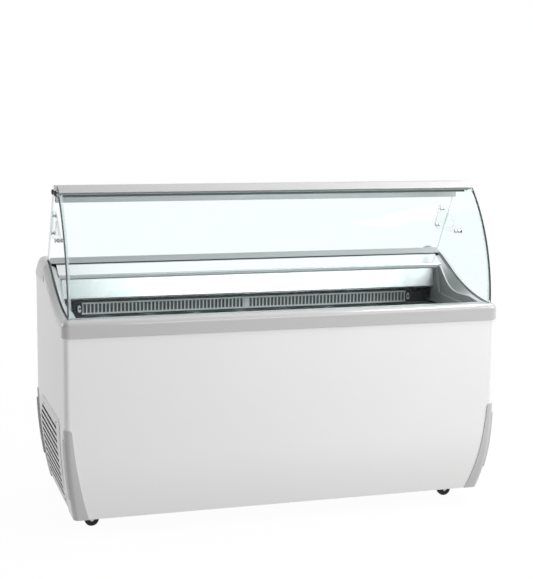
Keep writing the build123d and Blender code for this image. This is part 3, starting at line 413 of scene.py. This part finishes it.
# Widths of the rounded edges, in millimetres; a node in ROUNDED gets the finest.
SOFT_EDGES = {
    "canopy_cover": 0.6,
    "light_housing": 0.5,
    "rear_top_rail": 0.6,
    "rear_bottom_rail": 0.4,
    "air_outlet_grilles": 0.3,
    "side_vent_grille": 0.5,
    "corner_guards_front": 0.7,
    "corner_guards_rear": 0.7,
    "control_panel": 0.4,
}
FINE_EDGE = 0.3
WELD = 0.01
SHARP = math.radians(35)
ROUNDED = (
    "front_rim", "side_rim_left", "side_rim_right", "end_cap_left", "end_cap_right", "front_panel",
    "rear_panel", "side_panel_left", "side_panel_right", "side_liner_left", "side_liner_right",
    "compressor", "drain_plug", "rear_worktop", "inner_back_wall",
)


def bevel(piece, width):
    """Small rounding on every sharp edge, so that it catches the light."""
    edges = piece.modifiers.new("edges", "BEVEL")
    edges.width = width * MM
    edges.segments = 2
    edges.limit_method = "ANGLE"
    edges.angle_limit = SHARP
    edges.harden_normals = True


def soften_edges():
    """Round the visible sharp edges of the CAD nodes and shade their curved faces smoothly."""
    widths = {name: FINE_EDGE for name in ROUNDED} | SOFT_EDGES
    for name, width in widths.items():
        weld = NODES[name].modifiers.new("weld", "WELD")
        weld.merge_threshold = WELD * MM
        bevel(NODES[name], width)
        normals = NODES[name].modifiers.new("normals", "WEIGHTED_NORMAL")
        normals.mode = "FACE_AREA"
        normals.keep_sharp = False


# ---- detail pieces ----
GLASS_CENTRE = (222.5, 738.6)  # y and z of the front glass's centre, in millimetres
PANE_OUT = 754.0
BACK = 333.0  # outer face of the rear panel
CANOPY_BOLTS = [(-28.0, 1137.0), (-85.0, 1137.0)]
BRACKET_BOLT = (-56.0, 974.0)
SEAL_LOW, SEAL_HIGH, SEAL_STEPS = 1.5, 47.0, 60  # degrees along the glass


def new_piece(name, mesh, material, body="cabinet"):
    """An object from a bmesh in millimetres: shallow edges smooth, dressed, riding on a body."""
    bmesh.ops.recalc_face_normals(mesh, faces=mesh.faces)
    mesh.transform(Matrix.Scale(MM, 4))
    for face in mesh.faces:
        face.smooth = True
    for edge in mesh.edges:
        edge.smooth = len(edge.link_faces) == 2 and edge.calc_face_angle() < SHARP
    data = bpy.data.meshes.new(name)
    mesh.to_mesh(data)
    mesh.free()
    data.materials.append(material)
    piece = bpy.data.objects.new(name, data)
    bpy.context.scene.collection.objects.link(piece)
    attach(piece, body)
    return piece


def skin(mesh, rings):
    """Adds the faces between rings of points, and a cap on each end."""
    loops = [[mesh.verts.new(point) for point in ring] for ring in rings]
    for low, high in zip(loops, loops[1:]):
        for i in range(len(low)):
            j = (i + 1) % len(low)
            mesh.faces.new((low[i], low[j], high[j], high[i]))
    mesh.faces.new(loops[0])
    mesh.faces.new(loops[-1])


TURN_STEPS = 28


def turned(mesh, profile, at, facing, steps=TURN_STEPS):
    """Adds a solid turned from (radius, height) points, standing at a point and facing a direction."""
    turn = Vector(facing).to_track_quat("Z", "Y")
    rings = []
    for radius, height in profile:
        ring = []
        for i in range(steps):
            angle = 2 * math.pi * i / steps
            point = Vector((radius * math.cos(angle), radius * math.sin(angle), height))
            ring.append(turn @ point + Vector(at))
        rings.append(ring)
    skin(mesh, rings)


def bar(mesh, x, y, z):
    """Adds a small box between two limits on each axis."""
    rings = [[(a, y[0], z[0]), (a, y[1], z[0]), (a, y[1], z[1]), (a, y[0], z[1])] for a in x]
    skin(mesh, rings)


def along_glass_edge(name, section, material):
    """Strips behind the two side edges of the front glass, with a section drawn in (x, radius)."""
    for side, end in ((-1, "left"), (1, "right")):
        rings = []
        for i in range(SEAL_STEPS + 1):
            angle = math.radians(SEAL_LOW + (SEAL_HIGH - SEAL_LOW) * i / SEAL_STEPS)
            ring = []
            for x, radius in section:
                y = GLASS_CENTRE[0] - radius * math.cos(angle)
                z = GLASS_CENTRE[1] + radius * math.sin(angle)
                ring.append((side * x, y, z))
            rings.append(ring)
        mesh = bmesh.new()
        skin(mesh, rings)
        new_piece(f"{name}_{end}", mesh, material)


def edge_seals():
    """Seals on the front edges of the side panes: a dark gasket and a milky lip inside it."""
    gasket = [(751.0, 534.8), (751.0, 536.4), (755.3, 536.4), (755.3, 531), (754.1, 531), (754.1, 534.8)]
    lip = [(743, 535.2), (743, 536.2), (750.8, 536.3), (750.8, 535.0)]
    along_glass_edge("edge_gasket", gasket, SEAL_RUBBER)
    along_glass_edge("edge_lip", lip, SEAL)


def bolt_caps():
    """Dark domed caps over the canopy's bolts, and washers round the bracket's bolts."""
    caps, washers = bmesh.new(), bmesh.new()
    dome = [(8.6, 0.1), (9.2, 0.6), (9.2, 4.0), (8.4, 5.8), (6.2, 7.2), (3.0, 7.9), (0.3, 8.0)]
    ring = [(9.0, 0.05), (9.0, 0.8), (8.6, 1.3), (7.3, 1.5), (7.05, 1.0)]
    for side in (-1, 1):
        for y, z in CANOPY_BOLTS:
            turned(caps, dome, (side * PANE_OUT, y, z), (side, 0, 0))
        turned(washers, ring, (side * PANE_OUT, *BRACKET_BOLT), (side, 0, 0))
    new_piece("bolt_caps", caps, MATERIALS["control_plastic"])
    new_piece("bolt_washers", washers, MATERIALS["bright_zinc"])


OUTLET_FACE = 156.0  # front of the air outlet's plate
OUTLET_MIDDLE = 699.0  # middle of its height
CLIP_X = 640.0
CLIP_PROUD = 1.4
CLIP_DEPTH = 4.0
CLIP_OUTLINE = [(-6, -10), (-2, -14), (5, -12), (6, -4), (4, 9), (0, 14), (-5, 12), (-7, 4)]
CLIP_SCREW = [(2.3, -0.5), (2.3, 0.8), (1.6, 1.4), (0.2, 1.6)]
CLIP_SCREW_STEPS = 20
CLIP_EDGE = 0.8


def outlet_clips():
    """White clips that hold the ends of the outlet grilles, each with a dark screw."""
    clips, screws = bmesh.new(), bmesh.new()
    front = OUTLET_FACE - CLIP_PROUD
    back = OUTLET_FACE + CLIP_DEPTH
    for side in (-1, 1):
        x = side * CLIP_X
        skin(clips, [[(x + u, y, OUTLET_MIDDLE + v) for u, v in CLIP_OUTLINE] for y in (front, back)])
        turned(screws, CLIP_SCREW, (x, front, OUTLET_MIDDLE), (0, -1, 0), CLIP_SCREW_STEPS)
    bevel(new_piece("outlet_clips", clips, WHITE_CLIP), CLIP_EDGE)
    new_piece("outlet_clip_screws", screws, MATERIALS["black_plastic"])


SCREEN_X = 712.0
SCREEN_Y = (163.0, 164.4)
SCREEN_Z = (678.5, 719.5)
RIB_X = 711.0
RIB_LEVELS = (680.0, OUTLET_MIDDLE, 718.0)
RIB_HALF = 1.2
RIB_PROUD = 1.0


def outlet_shade_screen():
    """Grey sheet close behind the outlet slots, with three ribs along it: painted shade of the duct behind the
    slots.
    """
    mesh = bmesh.new()
    bar(mesh, (-SCREEN_X, SCREEN_X), SCREEN_Y, SCREEN_Z)
    rib_y = (SCREEN_Y[0] - RIB_PROUD, SCREEN_Y[0])
    for z in RIB_LEVELS:
        bar(mesh, (-RIB_X, RIB_X), rib_y, (z - RIB_HALF, z + RIB_HALF))
    new_piece("outlet_shade_screen", mesh, SLOT_SHADE)


RAIL_GASKET_X = 744.0
RAIL_GASKET_Y = (112.4, 113.8)
RAIL_GASKET_Z = (869.0, 871.6)


def rail_shade_gasket():
    """Thin black gasket along the front foot of the lower rear rail; its black also paints the shade line at
    the rail's foot.
    """
    mesh = bmesh.new()
    bar(mesh, (-RAIL_GASKET_X, RAIL_GASKET_X), RAIL_GASKET_Y, RAIL_GASKET_Z)
    # black strip: a gasket, and painted shade at the rail's foot
    bevel(new_piece("rail_shade_gasket", mesh, MATERIALS["black_rubber"]), FINE_EDGE)


CROSS_ARM = 0.22  # half width of an arm as a share of its half length
CROSS_HEIGHTS = (-0.5, 0.12)  # foot and top of the black cross that paints the shade of the recess, from the middle of the head's dome


def cross(mesh, at, facing, size):
    """Adds a black cross just proud of a screw's head: painted shade of its cross recess."""
    turn = Vector(facing).to_track_quat("Z", "Y")
    narrow = size * CROSS_ARM
    for across, along in ((size, narrow), (narrow, size)):
        corners = [(-across, -along), (across, -along), (across, along), (-across, along)]
        skin(mesh, [[turn @ Vector((u, v, h)) + Vector(at) for u, v in corners] for h in CROSS_HEIGHTS])


def screw_head(mesh, at, facing, radius):
    """Adds a domed screw head on a surface."""
    profile = [(radius, -0.3), (radius, 0.5), (radius * 0.92, 1.2), (radius * 0.6, 1.9), (radius * 0.1, 2.1)]
    turned(mesh, profile, at, facing)


REAR_SCREWS_X = (-735.0, -245.0, 245.0, 735.0)
REAR_SCREWS_Z = (300.0, 545.0, 785.0)
CONTROL_SCREWS_X = (-682.0, -458.0)
CONTROL_SCREWS_Z = (334.0, 406.0)
CONTROL_PLATE = 3.0  # thickness
LINER_SCREW = (729.0, 8.0, 786.0)
REAR_HEAD = 5.0
LINER_HEAD = 5.5
RECESS = 2.4
DOME = 2.0  # height of the heads at their middle


def panel_screws():
    """Screws of the rear panel, the control plate and the side liners, with black crosses on their heads as
    painted shade of the cross recesses.
    """
    heads, recess_shades = bmesh.new(), bmesh.new()
    rear = [(x, BACK, z) for x in REAR_SCREWS_X for z in REAR_SCREWS_Z]
    rear += [(x, BACK + CONTROL_PLATE, z) for x in CONTROL_SCREWS_X for z in CONTROL_SCREWS_Z]
    for x, y, z in rear:
        screw_head(heads, (x, y, z), (0, 1, 0), REAR_HEAD)
        cross(recess_shades, (x, y + DOME, z), (0, 1, 0), RECESS)
    x, y, z = LINER_SCREW
    for side in (-1, 1):
        screw_head(heads, (side * x, y, z), (-side, 0, 0), LINER_HEAD)
        cross(recess_shades, (side * (x - DOME), y, z), (-side, 0, 0), RECESS)
    new_piece("panel_screws", heads, MATERIALS["bright_zinc"])
    # black crosses: painted shade of the screws' cross recesses
    new_piece("painted_recess_shade", recess_shades, MATERIALS["black_plastic"])


# The seven segments in order: top, upper left, upper right, middle, lower left, lower right, bottom.
# Each place is (column, row, whether the segment lies level).
SEGMENT_PLACES = [
    (0, 2, True), (-1, 1, False), (1, 1, False), (0, 0, True), (-1, -1, False), (1, -1, False), (0, -2, True),
]
DIGITS = {"-": "0001000", "1": "0010010", "8": "1111111"}
FIRST_DIGIT = (-597.0, 368.0)  # x and z of its middle
DIGIT_PITCH = 13.0
SEGMENT_STEP = 3.6  # from one row or column of segments to the next
SEGMENT_HALF = (2.8, 0.65)  # half length and half width of a segment
SEGMENT_FACE = (BACK + 2.4, BACK + 2.8)


def temperature_digits():
    """Generic reading of the thermostat in seven-segment digits, read from behind the cabinet."""
    mesh = bmesh.new()
    for place_no, digit in enumerate("-18"):
        middle_x = FIRST_DIGIT[0] - DIGIT_PITCH * place_no
        for lit, (column, row, level) in zip(DIGITS[digit], SEGMENT_PLACES):
            if lit == "0":
                continue
            x = middle_x - SEGMENT_STEP * column
            z = FIRST_DIGIT[1] + SEGMENT_STEP * row
            half_x, half_z = SEGMENT_HALF if level else SEGMENT_HALF[::-1]
            bar(mesh, (x - half_x, x + half_x), SEGMENT_FACE, (z - half_z, z + half_z))
    new_piece("temperature_digits", mesh, SEGMENTS)


KEYS = (("down", -560.0, -1), ("up", -540.0, 1))  # name, x and the way its arrow points
KEY_Z = 366.0
MARK_FACE = (BACK + 4.6, BACK + 4.9)
ARROW = [(-2.4, -1.6), (2.4, -1.6), (0.0, 2.2)]


def key_marks():
    """Arrow heads on the two keys; each rides on its key."""
    for name, x, way in KEYS:
        mesh = bmesh.new()
        skin(mesh, [[(x + u, y, KEY_Z + way * v) for u, v in ARROW] for y in MARK_FACE])
        new_piece(f"key_mark_{name}", mesh, MATERIALS["black_plastic"], f"key_{name}")


# ---- stage ----
FLOOR_RADIUS = 40.0
FLOOR_DROP = 0.2  # millimetres below the wheels
FLOOR_SIDES = 96
FLOOR_PAINT = (0.93, 0.93, 0.93, 1.0)
FLOOR_SHADOW_START = 1.0
FLOOR_SHADOW_END = 2.6
FLOOR_GLOW = 0.96  # share of the floor's own white beside the object, which leaves a faint shadow
SURROUND = 0.64  # brightness of the far floor as a light


def make_floor():
    """Pale floor that takes the contact shadow and fades into the white surround."""
    mesh = bpy.data.meshes.new("floor")
    grid = bmesh.new()
    bmesh.ops.create_circle(grid, cap_ends=True, segments=FLOOR_SIDES, radius=FLOOR_RADIUS)
    grid.to_mesh(mesh)
    floor = bpy.data.objects.new("floor", mesh)
    bpy.context.scene.collection.objects.link(floor)
    floor.location.z = CAD_BOX[0].z - FLOOR_DROP * MM
    material = bpy.data.materials.new("floor")
    material.use_nodes = True
    tree = material.node_tree
    tree.nodes.clear()
    paint = add(tree, "ShaderNodeBsdfDiffuse", {"Color": FLOOR_PAINT})
    seen = add(tree, "ShaderNodeLightPath").outputs["Is Camera Ray"]
    strength = spread(tree, seen, SURROUND, 1.0, 0.0, 1.0)
    glow = add(tree, "ShaderNodeEmission", {"Color": WHITE, "Strength": strength})
    distance = add(tree, "ShaderNodeVectorMath", {0: place(tree)}, operation="LENGTH").outputs["Value"]
    fade = spread(tree, distance, FLOOR_GLOW, 1.0, FLOOR_SHADOW_START, FLOOR_SHADOW_END)
    whole = add(tree, "ShaderNodeMixShader", {0: fade, 1: paint.outputs[0], 2: glow.outputs[0]})
    output = add(tree, "ShaderNodeOutputMaterial")
    tree.links.new(whole.outputs[0], output.inputs["Surface"])
    mesh.materials.append(material)


ROOM_LEFT, ROOM_RIGHT = 0.50, 0.84  # brightness of the room at its two ends
# Dark flags in the room: direction, light left at its middle, and cosines where it starts and is full.
FLAGS = [
    ((-0.76, -0.65, 0.02), 0.04, 0.35, 0.88),
    ((0.56, -0.80, 0.20), 0.12, 0.90, 0.98),
]


def make_world():
    """White surround for the eye; for the lighting, a room darker on the left, with dark flags."""
    world = bpy.data.worlds.new("studio")
    bpy.context.scene.world = world
    world.use_nodes = True
    tree = world.node_tree
    tree.nodes.clear()
    source = add(tree, "ShaderNodeTexCoord")
    split = add(tree, "ShaderNodeSeparateXYZ", {"Vector": source.outputs["Generated"]})
    strength = spread(tree, split.outputs[0], ROOM_LEFT, ROOM_RIGHT, -1.0, 1.0)
    for direction, shade, start, full in FLAGS:
        pair = {0: source.outputs["Generated"], 1: direction}
        toward = add(tree, "ShaderNodeVectorMath", pair, operation="DOT_PRODUCT").outputs["Value"]
        flagged = spread(tree, toward, 1.0, shade, start, full)
        strength = add(tree, "ShaderNodeMath", {0: strength, 1: flagged}, operation="MULTIPLY").outputs[0]
    room = add(tree, "ShaderNodeBackground", {"Color": WHITE, "Strength": strength})
    white = add(tree, "ShaderNodeBackground", {"Color": WHITE, "Strength": 1.0})
    path = add(tree, "ShaderNodeLightPath")
    inputs = {0: path.outputs["Is Camera Ray"], 1: room.outputs[0], 2: white.outputs[0]}
    both = add(tree, "ShaderNodeMixShader", inputs)
    output = add(tree, "ShaderNodeOutputWorld")
    tree.links.new(both.outputs[0], output.inputs["Surface"])


# Studio lights: name, place, target, width and height, and watts.
LIGHTS = [
    ("overhead", (0.9, 0.6, 3.1), (0.9, 0.2, 1.0), (2.6, 2.4), 16.0),
    ("strip", (1.6, -0.72, 2.95), (0.7, -0.3, 0.7), (1.7, 0.3), 30.0),
    ("front", (0.97, -3.2, 1.5), (0.5, 0.0, 0.8), (1.9, 1.1), 16.5),
    ("key", (3.6, -3.4, 2.3), (0.2, 0.0, 0.6), (1.8, 2.2), 100.0),
    ("fill", (-3.0, 1.4, 1.4), (-0.7, 0.1, 0.6), (1.6, 2.0), 26.0),
]


def soft_box(name, at, target, size, power):
    """A rectangular studio light that isn't seen directly."""
    data = bpy.data.lights.new(name, "AREA")
    data.shape = "RECTANGLE"
    data.size, data.size_y = size
    data.energy = power
    light = bpy.data.objects.new(name, data)
    bpy.context.scene.collection.objects.link(light)
    light.location = at
    light.rotation_euler = (Vector(target) - Vector(at)).to_track_quat("-Z", "Y").to_euler()
    light.visible_camera = False


def make_lights():
    """Overhead box and strip, a front box, a key from the front right and a fill beside the left end."""
    for name, at, target, size, power in LIGHTS:
        soft_box(name, at, target, size, power)


make_camera()
make_floor()
make_world()
make_lights()
dress_nodes()
soften_edges()
edge_seals()
bolt_caps()
outlet_clips()
outlet_shade_screen()
rail_shade_gasket()
panel_screws()
temperature_digits()
key_marks()
bpy.context.scene.view_settings.view_transform = "Standard"
